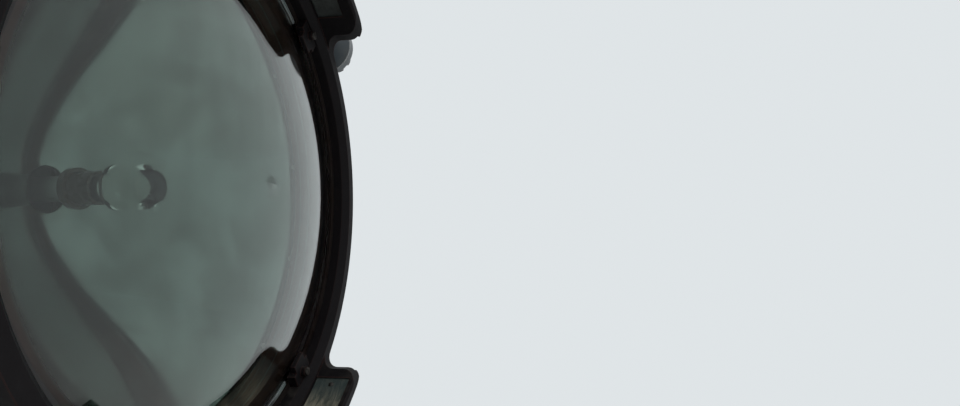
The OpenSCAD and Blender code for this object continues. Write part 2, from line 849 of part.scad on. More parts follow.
// Glass and what holds it
module glass_gasket() {
    color("saddlebrown") on_axis() translate([0, 0, shelf_z]) ring(pocket_r - 1, shelf_r + 1, gasket_t);
}

module glass_dome() {
    color([0.75, 0.88, 0.86, 0.5]) on_axis() union() {
        translate([0, 0, glass_front]) cap_shell(dome_r, glass_sag, glass_t);
        translate([0, 0, glass_back]) ring(glass_r, dome_r - 6, glass_t);
    }
}

module glass_bezel() {
    color("peru") on_axis() translate([0, 0, glass_front]) ring(pocket_r - slip, glass_r - 5, bezel_t);
}

module glass_clip() {
    z0 = glass_front + bezel_t;
    intersection() {
        union() {
            translate([pocket_r - 20, -clip_w / 2, z0]) cube([24, clip_w, 12]);
            translate([pocket_r - 32, -clip_w / 2 + 7, z0 + 5]) cube([30, clip_w - 14, 7]);
            translate([pocket_r - 9, 0, z0 + 12]) cylinder(h = 6, r = 7);
        }
        translate([0, 0, z0 - cut]) cylinder(h = 40, r = pocket_r - slip);
    }
}

module glass_clips() {
    color("black") on_axis()
        for (a = [clip_up_angle, 180 - clip_up_angle, 180 + clip_low_angle, -clip_low_angle])
            rotate(a) glass_clip();
}

base_flange();
pedestal_column();
access_cover();
conduit_gland();
bearing_head();
drive_gearbox();
drive_motor();
spindle();
turntable();
yoke_beam();
yoke_arm_left();
yoke_arm_right();
bearing_cap_left();
bearing_cap_right();
tilt_clamp();
drum_shell();
drum_front_flange();
drum_rear_ring();
rear_cover();
rear_handle();
trunnion_left();
trunnion_right();
tilt_quadrant();
vent_neck();
vent_cowl();
reflector();
reflector_ring();
lamp_spider();
lamp_stem();
lamp_socket();
lamp_bulb();
hinge_brackets();
hinge_pins();
latch_plate_upper();
latch_plate_lower();
latch_screw_upper();
latch_screw_lower();
door_ring();
hood_liner_upper();
hood_liner_lower();
glass_gasket();
glass_dome();
glass_bezel();
glass_clips();
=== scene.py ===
"""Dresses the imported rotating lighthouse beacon: finishes, small fittings, stage and camera."""

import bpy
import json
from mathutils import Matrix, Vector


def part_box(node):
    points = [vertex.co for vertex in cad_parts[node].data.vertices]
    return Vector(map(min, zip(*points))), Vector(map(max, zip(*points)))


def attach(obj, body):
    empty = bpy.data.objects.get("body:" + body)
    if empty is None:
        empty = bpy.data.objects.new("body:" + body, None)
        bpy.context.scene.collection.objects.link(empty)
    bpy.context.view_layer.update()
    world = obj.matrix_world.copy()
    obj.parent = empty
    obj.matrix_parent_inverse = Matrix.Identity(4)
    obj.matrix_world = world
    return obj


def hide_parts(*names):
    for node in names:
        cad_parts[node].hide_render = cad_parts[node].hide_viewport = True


bl_info = {
    "name": "Rotating Lighthouse Beacon",
    "version": (1, 0, 0),
    "blender": (4, 5, 0),
    "location": "View3D > Sidebar > Beacon",
    "description": "Finishes and small fittings for a rotating lighthouse beacon",
    "category": "Object",
}

import json
import math

import bmesh
import bpy
from bpy.props import FloatProperty, FloatVectorProperty, IntProperty, PointerProperty
from mathutils import Matrix, Vector

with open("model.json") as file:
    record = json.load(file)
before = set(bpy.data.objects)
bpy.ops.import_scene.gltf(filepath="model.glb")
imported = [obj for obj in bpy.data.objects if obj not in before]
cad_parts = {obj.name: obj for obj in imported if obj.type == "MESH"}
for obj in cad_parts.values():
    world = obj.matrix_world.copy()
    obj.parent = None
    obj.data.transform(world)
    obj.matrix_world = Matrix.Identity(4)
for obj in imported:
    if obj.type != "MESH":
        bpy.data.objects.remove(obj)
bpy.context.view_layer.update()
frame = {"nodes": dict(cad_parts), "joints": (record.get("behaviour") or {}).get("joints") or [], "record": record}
NODES = frame["nodes"]
JOINT_PLACE = {joint["name"]: joint["pos_m"] for joint in frame["joints"]}
AXIS_Z = JOINT_PLACE["drum_tilt"][2]
ON_AXIS = Matrix.Translation((0, 0, AXIS_Z)) @ Matrix.Rotation(math.radians(90), 4, "X")
MM = 0.001


# ---------------------------------------- places taken from the frame

def front(node):
    """How far forward of the trunnions a node reaches, along the drum's axis."""
    return -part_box(node)[0].y


def back(node):
    """How far forward of the trunnions a node's rear face is; negative behind them."""
    return -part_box(node)[1].y


def top(node):
    """Height of a node's highest point above the floor."""
    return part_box(node)[1].z


def radius(node):
    """Half of a node's width across X."""
    low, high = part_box(node)
    return (high.x - low.x) / 2


BEAD_PROUD = 4 * MM
SHELL_R = radius("drum_shell") - BEAD_PROUD
BEZEL_R = radius("glass_bezel")
GLASS_SEAT = 21 * MM
RING_BORE_R = BEZEL_R - GLASS_SEAT
# Radius inside which the drum and ring are red: red primer, and partly painted reddish light.
RED_INSIDE_R = RING_BORE_R + 7 * MM


# ---------------------------------------- shader maths

def toned(colour, factor):
    """The colour, made darker or lighter by a factor."""
    return [min(1.0, c * factor) for c in colour]


class Channel:
    """A node socket that takes part in Python arithmetic."""

    def __init__(self, tree, socket):
        self.tree = tree
        self.socket = socket

    def _math(self, operation, first, second):
        return self.tree.node("ShaderNodeMath", {"operation": operation}, {0: first, 1: second})

    def __add__(self, other):
        return self._math("ADD", self, other)

    def __radd__(self, other):
        return self._math("ADD", other, self)

    def __sub__(self, other):
        return self._math("SUBTRACT", self, other)

    def __rsub__(self, other):
        return self._math("SUBTRACT", other, self)

    def __mul__(self, other):
        return self._math("MULTIPLY", self, other)

    def __rmul__(self, other):
        return self._math("MULTIPLY", other, self)

    def most(self, other):
        """The larger of the two."""
        return self._math("MAXIMUM", self, other)


class Tree:
    """The node tree of a material or a world, cleared and ready to be written."""

    def __init__(self, owner):
        owner.use_nodes = True
        self.owner = owner
        self.nodes = owner.node_tree.nodes
        self.links = owner.node_tree.links
        self.nodes.clear()

    def node(self, kind, settings=None, sockets=None, output=0):
        """Adds a node: its settings first, then the values or links of its sockets."""
        made = self.nodes.new(kind)
        for key, value in (settings or {}).items():
            if key == "stops":
                ramp = made.color_ramp
                while len(ramp.elements) < len(value):
                    ramp.elements.new(0.5)
                for element, (position, colour) in zip(ramp.elements, value):
                    element.position = position
                    element.color = (*colour, 1)
            else:
                setattr(made, key, value)
        for key, value in (sockets or {}).items():
            socket = made.inputs[key]
            if isinstance(value, Channel):
                self.links.new(value.socket, socket)
            elif socket.type == "RGBA":
                socket.default_value = (*value[:3], 1)
            else:
                socket.default_value = value
        return Channel(self, made.outputs[output]) if made.outputs else None

    def backdrop_rays(self):
        """1 for rays that show the backdrop: straight, mirrored or through glass."""
        straight, mirrored, through = [
            self.node("ShaderNodeLightPath", output=f"Is {ray} Ray")
            for ray in ("Camera", "Glossy", "Transmission")]
        return straight.most(mirrored).most(through)


class Recipe(Tree):
    """One material's node tree, read from Object coordinates in metres."""

    def __init__(self, name):
        super().__init__(bpy.data.materials.new(name))
        self.place = self.node("ShaderNodeTexCoord", output="Object")

    def noise(self, scale, detail, stretch=None, warp=0.0, rough=0.55):
        """Fractal noise from 0 to 1, drawn out along an axis if stretch says so."""
        where = self.place
        if stretch:
            where = self.node("ShaderNodeMapping", {}, {"Vector": where, "Scale": stretch})
        return self.node("ShaderNodeTexNoise", {},
                         {"Vector": where, "Scale": scale, "Detail": detail,
                          "Roughness": rough, "Distortion": warp})

    def cracks(self, scale, width):
        """1 along the walls of irregular cells and 0 inside them."""
        wall = self.node("ShaderNodeTexVoronoi", {"feature": "DISTANCE_TO_EDGE"},
                         {"Vector": self.place, "Scale": scale})
        return 1 - self.step(wall, 0.0, width)

    def step(self, value, low, high):
        """A soft step from 0 below low to 1 above high."""
        return self.node("ShaderNodeMapRange", {"interpolation_type": "SMOOTHSTEP"},
                         {"Value": value, "From Min": low, "From Max": high})

    def blend(self, mask, first, second):
        """The first colour where the mask is 0 and the second where it is 1."""
        return self.node("ShaderNodeMix", {"data_type": "RGBA"}, {0: mask, 6: first, 7: second},
                         output=2)

    def shade(self, mask, colour, dark, light):
        """A colour whose brightness runs from dark to light with the mask."""
        return self.blend(mask, toned(colour, dark), toned(colour, light))

    def along(self, vector, axis):
        """One coordinate of a vector."""
        return self.node("ShaderNodeSeparateXYZ", {}, {0: vector}, output=axis)

    def plain_normal(self):
        """The surface's normal without bump or rounding."""
        return self.node("ShaderNodeNewGeometry", output="Normal")

    def rounded(self, reach):
        """The surface's normal with its edges rounded off over a distance."""
        return self.node("ShaderNodeBevel", {"samples": 4}, {"Radius": reach})

    def edges(self, reach):
        """1 on edges and near corners, 0 on open faces."""
        likeness = self.node("ShaderNodeVectorMath", {"operation": "DOT_PRODUCT"},
                             {0: self.rounded(reach), 1: self.plain_normal()}, output="Value")
        return self.step(1 - likeness, 0.02, 0.22)

    def upward(self):
        """1 where the surface faces up and 0 where it faces down."""
        return self.along(self.plain_normal(), "Z") * 0.5 + 0.5

    def dust(self, mottle, low):
        """Patches of dust on what faces up."""
        return self.step(self.upward(), 0.80, 0.99) * self.step(mottle, low, 0.75)

    def distance(self, vector):
        """The length of a vector."""
        return self.node("ShaderNodeVectorMath", {"operation": "LENGTH"}, {0: vector},
                         output="Value")

    def off_axis(self):
        """Distance from the drum's axis in metres."""
        return self.distance(self.node(
            "ShaderNodeMapping", {},
            {"Vector": self.place, "Location": (0, 0, -AXIS_Z), "Scale": (1, 0, 1)}))

    def lined(self, tone, mask, within):
        """The tone, but red on what lies within a radius of the drum's axis: red-lead primer, and partly painted
        reddish light.
        """
        primer_and_light_red = (0.30, 0.125, 0.095)
        inner = 1 - self.step(self.off_axis(), within - 0.5 * MM, within)
        return self.blend(inner, tone, self.shade(mask, primer_and_light_red, 0.65, 1.2))

    def end(self, shader):
        """Ends the tree in a shader and returns the material."""
        self.node("ShaderNodeOutputMaterial", {}, {"Surface": shader})
        return self.owner

    def done(self, sockets, bump=None, depth=0.0, edge=0.0):
        """Ends the tree in a Principled shader, with bump and rounded edges if asked."""
        normal = self.rounded(edge) if edge else None
        if bump is not None:
            inputs = {"Height": bump, "Strength": 1.0, "Distance": depth}
            if normal is not None:
                inputs["Normal"] = normal
            normal = self.node("ShaderNodeBump", {}, inputs)
        if normal is not None:
            sockets = {**sockets, "Normal": normal}
        return self.end(self.node("ShaderNodeBsdfPrincipled", {}, sockets))


# ---------------------------------------- finishes

def weathered_paint(name, colour, under, rough, wear, dirt, rust=0.0, red_inside=0.0):
    """Old brushed paint: patchy tone, runs of dirt, dust on top and bare metal on edges.

    Rough is for clean paint; wear, dirt and rust run from 0 to 1; the faces within the
    given radius of the drum's axis are red: red primer, and partly painted reddish light.
    """
    r = Recipe(name)
    patches = r.noise(5, 6, warp=0.6)
    mottle = r.noise(38, 8, rough=0.62)
    grain = r.noise(420, 3)
    runs = r.noise(1, 5, stretch=(55, 55, 2.6), warp=0.3)
    tone = r.shade(patches * 0.6 + mottle * 0.4, colour, 0.80, 1.10)
    grime_colour, dust_colour = (0.16, 0.145, 0.12), (0.42, 0.39, 0.33)
    grime = r.step(runs * 0.55 + mottle * 0.45, 0.52, 0.78) * (0.55 * dirt)
    tone = r.blend(grime, tone, grime_colour)
    dust = r.dust(mottle, 0.35) * (0.5 * dirt)
    tone = r.blend(dust, tone, dust_colour)
    chip_from, fleck_from = 1.06 - 0.24 * wear, 0.74 - 0.06 * wear
    edge = r.edges(3.5 * MM)
    chips = r.step(edge * 0.8 + mottle * 0.55 + grain * 0.25, chip_from, chip_from + 0.10)
    flecks = r.step(r.noise(120, 5, rough=0.7), fleck_from, fleck_from + 0.04)
    bare = chips.most(flecks * r.step(patches, 0.45, 0.6))
    metal = r.shade(grain, under, 0.6, 1.1)
    if rust:
        stain_colour, rust_colour = (0.23, 0.10, 0.035), (0.20, 0.085, 0.03)
        stain = r.step(runs * 0.6 + patches * 0.5, 0.62, 0.78) * rust
        tone = r.blend(stain * 0.6, tone, stain_colour)
        metal = r.blend(r.step(mottle, 0.4, 0.6) * rust, metal, rust_colour)
    if red_inside:
        tone = r.lined(tone, mottle, red_inside)
    tone = r.blend(bare, tone, metal)
    roughness = mottle * 0.22 + grime * 0.35 + dust * 0.4 + bare * 0.15 + (rough - 0.08)
    return r.done({"Base Color": tone, "Roughness": roughness},
                  bump=grain * 0.25 + mottle * 0.5 - bare * 0.8, depth=0.35 * MM, edge=1.2 * MM)


def bare_metal(name, colour, rough, tarnish, tarnished, brushed=(500, 500, 500)):
    """Bare metal with fine scratches and a patchy tarnish, more of it as tarnished grows."""
    r = Recipe(name)
    patches = r.noise(16, 7, warp=0.5, rough=0.62)
    grain = r.noise(1, 4, stretch=brushed)
    scratch = r.step(r.noise(1, 2, stretch=(900, 60, 500), warp=1.0), 0.63, 0.68)
    tone = r.shade(grain, colour, 0.75, 1.1)
    dull = r.step(patches, 0.62 - 0.25 * tarnished, 0.80 - 0.2 * tarnished)
    tone = r.blend(dull * 0.8, tone, tarnish)
    tone = r.blend(r.edges(2 * MM) * 0.4, tone, toned(colour, 1.25))
    roughness = dull * 0.35 + grain * 0.15 + scratch * 0.1 + (rough - 0.08)
    return r.done({"Base Color": tone, "Metallic": 1 - dull * 0.35, "Roughness": roughness},
                  bump=grain * 0.4 + patches * 0.3 - scratch * 0.4, depth=0.12 * MM,
                  edge=0.8 * MM)


def black_casting(name, red_inside=0.0):
    """Near-black paint over a casting, brown where it has worn thin, and brown along its edges that is partly
    rubbed paint and partly a painted highlight.
    """
    black, thin_brown = (0.0048, 0.0040, 0.0045), (0.018, 0.011, 0.0095)
    dust_colour, rubbed_brown_and_highlight = (0.16, 0.15, 0.13), (0.050, 0.022, 0.018)
    fleck_colour = (0.085, 0.075, 0.065)
    r = Recipe(name)
    patches = r.noise(7, 6, warp=0.5)
    mottle = r.noise(55, 8, rough=0.6)
    grain = r.noise(360, 3)
    cast = r.noise(130, 5, rough=0.5)
    runs = r.noise(1, 5, stretch=(70, 70, 4), warp=0.4)
    tone = r.shade(patches, black, 0.6, 1.5)
    thin = r.step(runs * 0.5 + mottle * 0.5, 0.55, 0.72)
    tone = r.blend(thin * 0.4, tone, thin_brown)
    dust = r.dust(mottle, 0.4)
    tone = r.blend(dust * 0.14, tone, dust_colour)
    # Brown along the edges: partly paint rubbed through, partly a painted highlight.
    rub = r.step(r.edges(3 * MM) * 0.9 + mottle * 0.5 + grain * 0.2, 1.04, 1.22)
    tone = r.blend(rub * 0.55, tone, rubbed_brown_and_highlight)
    flecks = r.step(r.noise(150, 5, rough=0.75), 0.71, 0.74)
    tone = r.blend(flecks * 0.4, tone, fleck_colour)
    if red_inside:
        # Red inside the ring's bore: primer, and partly painted reddish light.
        tone = r.lined(tone, mottle, red_inside)
    roughness = mottle * 0.20 + dust * 0.2 + rub * 0.05 + flecks * 0.1 + 0.52
    return r.done({"Base Color": tone, "Specular IOR Level": 0.09, "Roughness": roughness},
                  bump=cast * 0.8 + mottle * 0.5 + grain * 0.15 - rub * 0.5, depth=0.5 * MM,
                  edge=1.5 * MM)


def door_glass(tint):
    """Thick tinted glass with a salt film, and a ground rim stained red at its seal, the red partly painted light.
    """
    seal_red_and_light, rim_from, rim_to = (0.42, 0.235, 0.20), 0.262, 0.312
    r = Recipe("dome_glass")
    rim = r.step(r.off_axis(), rim_from, rim_to)
    film = r.noise(9, 6, warp=0.8)
    spots = r.step(r.noise(260, 2), 0.70, 0.74)
    smear = r.noise(1, 5, stretch=(40, 8, 6), warp=0.8)
    haze = r.step(film * 0.5 + smear * 0.5, 0.42, 0.66)
    tone = r.blend(haze * 0.6 + rim * 0.4, toned(tint, 1.03), toned(tint, 0.74))
    # Red band at the seal: partly a stain, partly painted light that makes the dark rim read lit.
    seal_and_light_band = r.step(r.off_axis(), RING_BORE_R - 4 * MM, RING_BORE_R + 2 * MM)
    tone = r.blend(seal_and_light_band * 0.9, tone, r.shade(film, seal_red_and_light, 0.6, 1.3))
    roughness = haze * 0.03 + rim * 0.05 + spots * 0.08 + seal_and_light_band * 0.4 + 0.004
    return r.done({"Base Color": tone, "Roughness": roughness, "Transmission Weight": 1.0,
                   "IOR": 1.5}, bump=film, depth=0.05 * MM)


def reflector_mirror():
    """Polished reflector, with a dull bloom and fine rubbing marks."""
    polished, bloomed, spotted = (0.36, 0.385, 0.37), (0.22, 0.235, 0.215), (0.14, 0.12, 0.09)
    r = Recipe("mirror_face")
    bloom = r.noise(11, 6, warp=0.8)
    rub = r.noise(1, 4, stretch=(260, 40, 260), warp=0.4)
    spots = r.step(r.noise(190, 3, rough=0.7), 0.70, 0.74)
    dull = r.step(bloom, 0.40, 0.64)
    tone = r.blend(dull * 0.7, polished, bloomed)
    tone = r.blend(spots * 0.6, tone, spotted)
    roughness = dull * 0.045 + rub * 0.04 + spots * 0.3 + 0.045
    return r.done({"Base Color": tone, "Metallic": 1.0, "Roughness": roughness},
                  bump=bloom, depth=0.03 * MM)


def hood_liner(name, stops):
    """Bare sheet inside a hood, streaked and rippled, and dark towards its ends."""
    end_from, end_to, end_colour = 0.19, 0.235, (0.026, 0.040, 0.041)
    r = Recipe(name)
    patches = r.noise(14, 8, warp=1.2, rough=0.65)
    ripple = r.noise(1, 6, stretch=(30, 150, 30), warp=1.5)
    grain = r.noise(500, 3)
    tone = r.node("ShaderNodeValToRGB", {"stops": stops}, {0: patches * 0.6 + ripple * 0.4})
    across = r.along(r.place, "X")
    ends = r.step(across.most(across * -1.0) + patches * 0.06, end_from, end_to)
    tone = r.blend(ends * 0.85, tone, end_colour)
    return r.done({"Base Color": tone, "Metallic": 0.35, "Roughness": ripple * 0.3 + 0.42},
                  bump=ripple * 0.8 + grain * 0.2, depth=0.7 * MM, edge=0.6 * MM)


def gasket_rubber():
    """Perished red rubber with cracks, its red paler than the rubber's own: painted light where little light
    reaches behind the glass.
    """
    r = Recipe("gasket_rubber")
    mottle = r.noise(60, 6)
    # Painted light: a paler red than the rubber's own, so that it reads lit behind the glass.
    tone = r.blend(mottle, (0.26, 0.105, 0.080), (0.44, 0.20, 0.155))
    crack = r.cracks(240.0, 0.08)
    tone = r.blend(crack * 0.7, tone, (0.05, 0.022, 0.018))
    return r.done({"Base Color": tone, "Roughness": 0.62 + mottle * 0.2},
                  bump=mottle - crack, depth=0.3 * MM)


def lamp_glass():
    """Clear lamp glass, a little clouded in patches."""
    r = Recipe("lamp_glass")
    cloud = r.noise(60, 4)
    tone = r.blend(r.step(cloud, 0.5, 0.8) * 0.35, (0.97, 0.97, 0.94), (0.55, 0.50, 0.42))
    return r.done({"Base Color": tone, "Roughness": cloud * 0.03, "Transmission Weight": 1.0,
                   "IOR": 1.45})


def holder_glaze():
    """Brown lamp-holder glaze with hairline crazing."""
    r = Recipe("porcelain")
    stain = r.noise(50, 5)
    tone = r.blend(r.step(stain, 0.4, 0.8), (0.12, 0.075, 0.048), (0.070, 0.045, 0.030))
    tone = r.blend(r.cracks(160.0, 0.04) * 0.5, tone, (0.020, 0.014, 0.010))
    return r.done({"Base Color": tone, "Roughness": 0.2 + stain * 0.15}, bump=stain,
                  depth=0.1 * MM)


LINER_STOPS = [(0.34, (0.020, 0.024, 0.020)), (0.47, (0.085, 0.085, 0.066)),
               (0.57, (0.26, 0.235, 0.175)), (0.70, (0.42, 0.39, 0.30))]
# Painted shade: the liner of the upper hood, which faces down, is the same sheet in much darker stops.
SHADED_LINER_STOPS = [(0.34, (0.012, 0.014, 0.013)), (0.55, (0.030, 0.033, 0.031)),
                    (0.72, (0.055, 0.057, 0.052))]


def all_finishes(looks):
    """Every finish of the beacon, with the colours of the panel."""
    grey, shaded_latch_grey = tuple(looks.body_grey), tuple(looks.shaded_latch_grey)
    steel, alloy = (0.32, 0.32, 0.33), (0.50, 0.50, 0.49)
    drum_grey, drum_wear = toned(grey, 1.05), {"rough": 0.36, "wear": 0.5, "dirt": 0.6}
    return {
        "pedestal": weathered_paint(
            "pedestal_paint", grey, steel, rough=0.42, wear=0.7, dirt=0.8, rust=0.6),
        "cover": weathered_paint(
            "cover_paint", toned(grey, 0.82), steel, rough=0.40, wear=0.6, dirt=0.6, rust=0.3),
        "motor": weathered_paint(
            "motor_paint", (0.075, 0.095, 0.11), steel, rough=0.36, wear=0.6, dirt=0.7, rust=0.2),
        "yoke": weathered_paint(
            "yoke_paint", toned(grey, 1.02), steel, rough=0.40, wear=0.6, dirt=0.6, rust=0.5),
        "clamp": weathered_paint(
            "clamp_black", (0.022, 0.022, 0.024), steel, rough=0.38, wear=1.0, dirt=0.4, rust=0.2),
        "drum": weathered_paint("drum_paint", drum_grey, alloy, **drum_wear),
        # The shell and front flange are red inside: primer, and partly painted reddish light.
        "lined_drum": weathered_paint(
            "lined_drum_paint", drum_grey, alloy, red_inside=SHELL_R - 2 * MM, **drum_wear),
        "lined_flange": weathered_paint(
            "lined_flange_paint", drum_grey, alloy, red_inside=RED_INSIDE_R, **drum_wear),
        "trunnion": weathered_paint(
            "trunnion_paint", toned(grey, 0.97), steel, rough=0.38, wear=0.7, dirt=0.6, rust=0.3),
        "handle": weathered_paint(
            "handle_black", (0.018, 0.018, 0.019), steel, rough=0.32, wear=1.0, dirt=0.3),
        # Painted shade: the latch plates' grey is darkened to stand in for shade.
        "latch": weathered_paint("latch_paint", shaded_latch_grey, alloy, rough=0.34, wear=0.5, dirt=0.5),
        "rivet": weathered_paint("rivet_paint", grey, alloy, rough=0.34, wear=1.0, dirt=0.5),
        "gland": bare_metal(
            "gland_brass", (0.50, 0.40, 0.22), rough=0.40,
            tarnish=(0.16, 0.14, 0.08), tarnished=0.8),
        "steel": bare_metal(
            "ground_steel", (0.56, 0.56, 0.57), rough=0.26,
            tarnish=(0.20, 0.15, 0.11), tarnished=0.4, brushed=(700, 700, 30)),
        "quadrant": bare_metal(
            "quadrant_steel", (0.42, 0.42, 0.42), rough=0.38,
            tarnish=(0.17, 0.11, 0.07), tarnished=0.7),
        "inner": bare_metal(
            "inner_alloy", (0.50, 0.50, 0.49), rough=0.42,
            tarnish=(0.27, 0.26, 0.24), tarnished=0.5),
        "bezel": bare_metal(
            "bezel_bronze", (0.022, 0.013, 0.011), rough=0.55,
            tarnish=(0.010, 0.007, 0.006), tarnished=1.1),
        "bolt": bare_metal(
            "bolt_steel", (0.40, 0.39, 0.38), rough=0.42,
            tarnish=(0.20, 0.115, 0.06), tarnished=0.75),
        "plated": bare_metal(
            "plated_screw", (0.62, 0.61, 0.58), rough=0.30,
            tarnish=(0.28, 0.24, 0.18), tarnished=0.5),
        "strip": bare_metal(
            "strip_alloy", (0.42, 0.44, 0.44), rough=0.36,
            tarnish=(0.12, 0.17, 0.165), tarnished=0.7),
        # Painted shade: the clip screws and liner rivets are made near-black so that they read as in shade.
        "shaded_screw": bare_metal(
            "shaded_screw", (0.065, 0.060, 0.056), rough=0.46,
            tarnish=(0.030, 0.020, 0.015), tarnished=0.8),
        # The ring's bore is red inside: primer, and partly painted reddish light.
        "ring": black_casting("ring_black", red_inside=RED_INSIDE_R),
        "clip": black_casting("clip_black"),
        "liner": hood_liner("liner_sheet", LINER_STOPS),
        "liner_shaded": hood_liner("liner_sheet_shaded", SHADED_LINER_STOPS),
        "mirror": reflector_mirror(),
        "rubber": gasket_rubber(),
        "glass": door_glass(tuple(looks.glass_tint)),
        "lamp": lamp_glass(),
        "porcelain": holder_glaze(),
    }


FINISHES = {}


def finish(name):
    """A finish by name; they are all made once."""
    if not FINISHES:
        FINISHES.update(all_finishes(bpy.context.scene.beacon_looks))
    return FINISHES[name]


# ---------------------------------------- places for fasteners

GOLDEN_ANGLE = 2.39996


def facing(point, normal, turn=0.0):
    """A place on a surface: +Z of the shape goes along the normal."""
    aim = Vector(normal).to_track_quat("Z", "Y").to_matrix().to_4x4()
    return Matrix.Translation(point) @ aim @ Matrix.Rotation(turn, 4, "Z")


def on_drum(angle, r, forward, normal=None, turn=0.0):
    """A place in the drum's own frame: angle from +X, radius, distance forward."""
    out = Vector((math.cos(angle), math.sin(angle), 0))
    spot = out * r + Vector((0, 0, forward))
    aim = out if normal is None else Vector(normal)
    return ON_AXIS @ facing(spot, aim, turn)


def on_saddle(x, y, forward, turn):
    """A place on the drum's side, by its X, height over the axis and distance forward."""
    return ON_AXIS @ facing((x, y, forward), (x, y, 0), turn)


def spread(count, start=0.0):
    """Evenly spaced angles in radians, from a start in degrees."""
    return [math.radians(start + 360.0 * i / count) for i in range(count)]


def turns(count):
    """A small set turn for each fastener, so that no two heads line up."""
    return [(i * GOLDEN_ANGLE) % math.tau for i in range(count)]


def staggered(count, start=0.0):
    """Evenly spaced angles, each with a head's turn."""
    return list(zip(spread(count, start), turns(count)))


def in_line(count, start):
    """Evenly spaced angles for heads that aren't turned."""
    return [(angle, 0.0) for angle in spread(count, start)]


def level_circle(centre, r, heads, up=1):
    """Places for heads, each an angle and a turn, on a level circle."""
    x, y, z = centre
    return [facing((x + r * math.cos(a), y + r * math.sin(a), z), (0, 0, up), turn)
            for a, turn in heads]


def level_spots(spots, z):
    """Places facing up at (x, y) spots of one height."""
    return [facing((x, y, z), (0, 0, 1), turn) for (x, y), turn in zip(spots, turns(len(spots)))]


def drum_circle(r, forward, heads, way=1):
    """Places for heads on a circle round the drum's axis, facing forward or back."""
    return [on_drum(a, r, forward, (0, 0, way), turn) for a, turn in heads]


# ---------------------------------------- shapes

def turned(profile, segments):
    """A solid of revolution about Z from a profile of (radius, height) points."""
    bm = bmesh.new()
    verts = [bm.verts.new((r, 0, z)) for r, z in profile]
    edges = [bm.edges.new(pair) for pair in zip(verts, verts[1:])]
    bmesh.ops.spin(bm, geom=verts + edges, cent=(0, 0, 0), axis=(0, 0, 1), steps=segments,
                   angle=math.tau, use_merge=True)
    bmesh.ops.remove_doubles(bm, verts=bm.verts, dist=1e-6)
    return bm


def arc_strip(bm, start, end, inner, outer, low, high, segments=40):
    """Adds a flat strip bent about Z between two angles."""
    verts = [bm.verts.new((r * math.cos(start), r * math.sin(start), z))
             for r, z in ((inner, low), (outer, low), (outer, high), (inner, high))]
    end_face = bm.faces.new(verts)
    bmesh.ops.spin(bm, geom=verts + list(end_face.edges) + [end_face], cent=(0, 0, 0),
                   axis=(0, 0, 1), steps=segments, angle=end - start)


def barrel(bm, r_low, r_high, low, high, segments=24):
    """Adds a capped cylinder or cone between two heights."""
    bmesh.ops.create_cone(bm, cap_ends=True, segments=segments, radius1=r_low, radius2=r_high,
                          depth=high - low, matrix=Matrix.Translation((0, 0, (low + high) / 2)))


def as_mesh(bm, name):
    """Turns a bmesh into a mesh and frees it."""
    mesh = bpy.data.meshes.new(name)
    bm.to_mesh(mesh)
    bm.free()
    return mesh


def as_shape(bm):
    """Turns a bmesh into a mesh that can be stamped many times."""
    bmesh.ops.recalc_face_normals(bm, faces=bm.faces)
    return as_mesh(bm, "shape")


def hex_head(across, height, washer_r=0.0, washer_t=0.0, stud=0.0, stud_r=0.0):
    """A hexagon head or nut with a chamfered crown, and a washer and a stud end if asked."""
    bm = bmesh.new()
    if washer_r:
        barrel(bm, washer_r, washer_r * 0.98, 0, washer_t)
    corner_r = across / math.sqrt(3)
    flats_top, crown_top = washer_t + height * 0.88, washer_t + height
    barrel(bm, corner_r, corner_r, washer_t, flats_top, segments=6)
    barrel(bm, across * 0.52, across * 0.44, flats_top, crown_top, segments=18)
    if stud:
        chamfer = crown_top + stud * 0.8
        barrel(bm, stud_r, stud_r, crown_top, chamfer)
        barrel(bm, stud_r, stud_r * 0.7, chamfer, crown_top + stud)
    return as_shape(bm)


def slotted_head(r, height, slot=0.18):
    """A cheese-head screw, its slot cut right across to a share of the radius."""
    bm = bmesh.new()
    width = r * slot
    shoulder, slot_floor = height * 0.8, height * 0.45
    for side in (-1, 1):
        half = bmesh.new()
        barrel(half, r, r, 0, shoulder)
        barrel(half, r, r * 0.86, shoulder, height)
        cut = bmesh.ops.bisect_plane(half, geom=half.verts[:] + half.edges[:] + half.faces[:],
                                     plane_co=(side * width / 2, 0, 0), plane_no=(-side, 0, 0),
                                     clear_outer=True)
        rim = [e for e in cut["geom_cut"] if isinstance(e, bmesh.types.BMEdge)]
        bmesh.ops.contextual_create(half, geom=rim)
        bm.from_mesh(as_mesh(half, "half"))
    barrel(bm, r * 0.96, r * 0.96, 0, slot_floor)
    return as_shape(bm)


def rivet_head(r, height, steps=5):
    """A snap-head rivet."""
    arc = [math.radians(90 * i / steps) for i in range(1, steps)]
    profile = [(r, 0), *((r * math.cos(a), height * math.sin(a)) for a in arc), (0, height)]
    return as_shape(turned(profile, segments=14))


def socket_head(r, height):
    """A cap screw with a round socket."""
    socket_r, floor = r * 0.55, height * 0.4
    profile = [(0, floor), (socket_r, floor), (socket_r, height), (r * 0.9, height),
               (r, height * 0.92), (r, 0), (0, 0)]
    return as_shape(turned(profile, segments=24))


def stamped(places, shape):
    """One bmesh with a copy of the shape at each place."""
    bm = bmesh.new()
    for place in places:
        first = len(bm.verts)
        bm.from_mesh(shape)
        bm.verts.ensure_lookup_table()
        bmesh.ops.transform(bm, matrix=place, verts=bm.verts[first:])
    return bm


def smooth_copy(node):
    """A copy of a node's mesh with its loose triangles joined, ready for smooth shading."""
    bm = bmesh.new()
    bm.from_mesh(NODES[node].data)
    bmesh.ops.remove_doubles(bm, verts=bm.verts, dist=1e-6)
    return bm


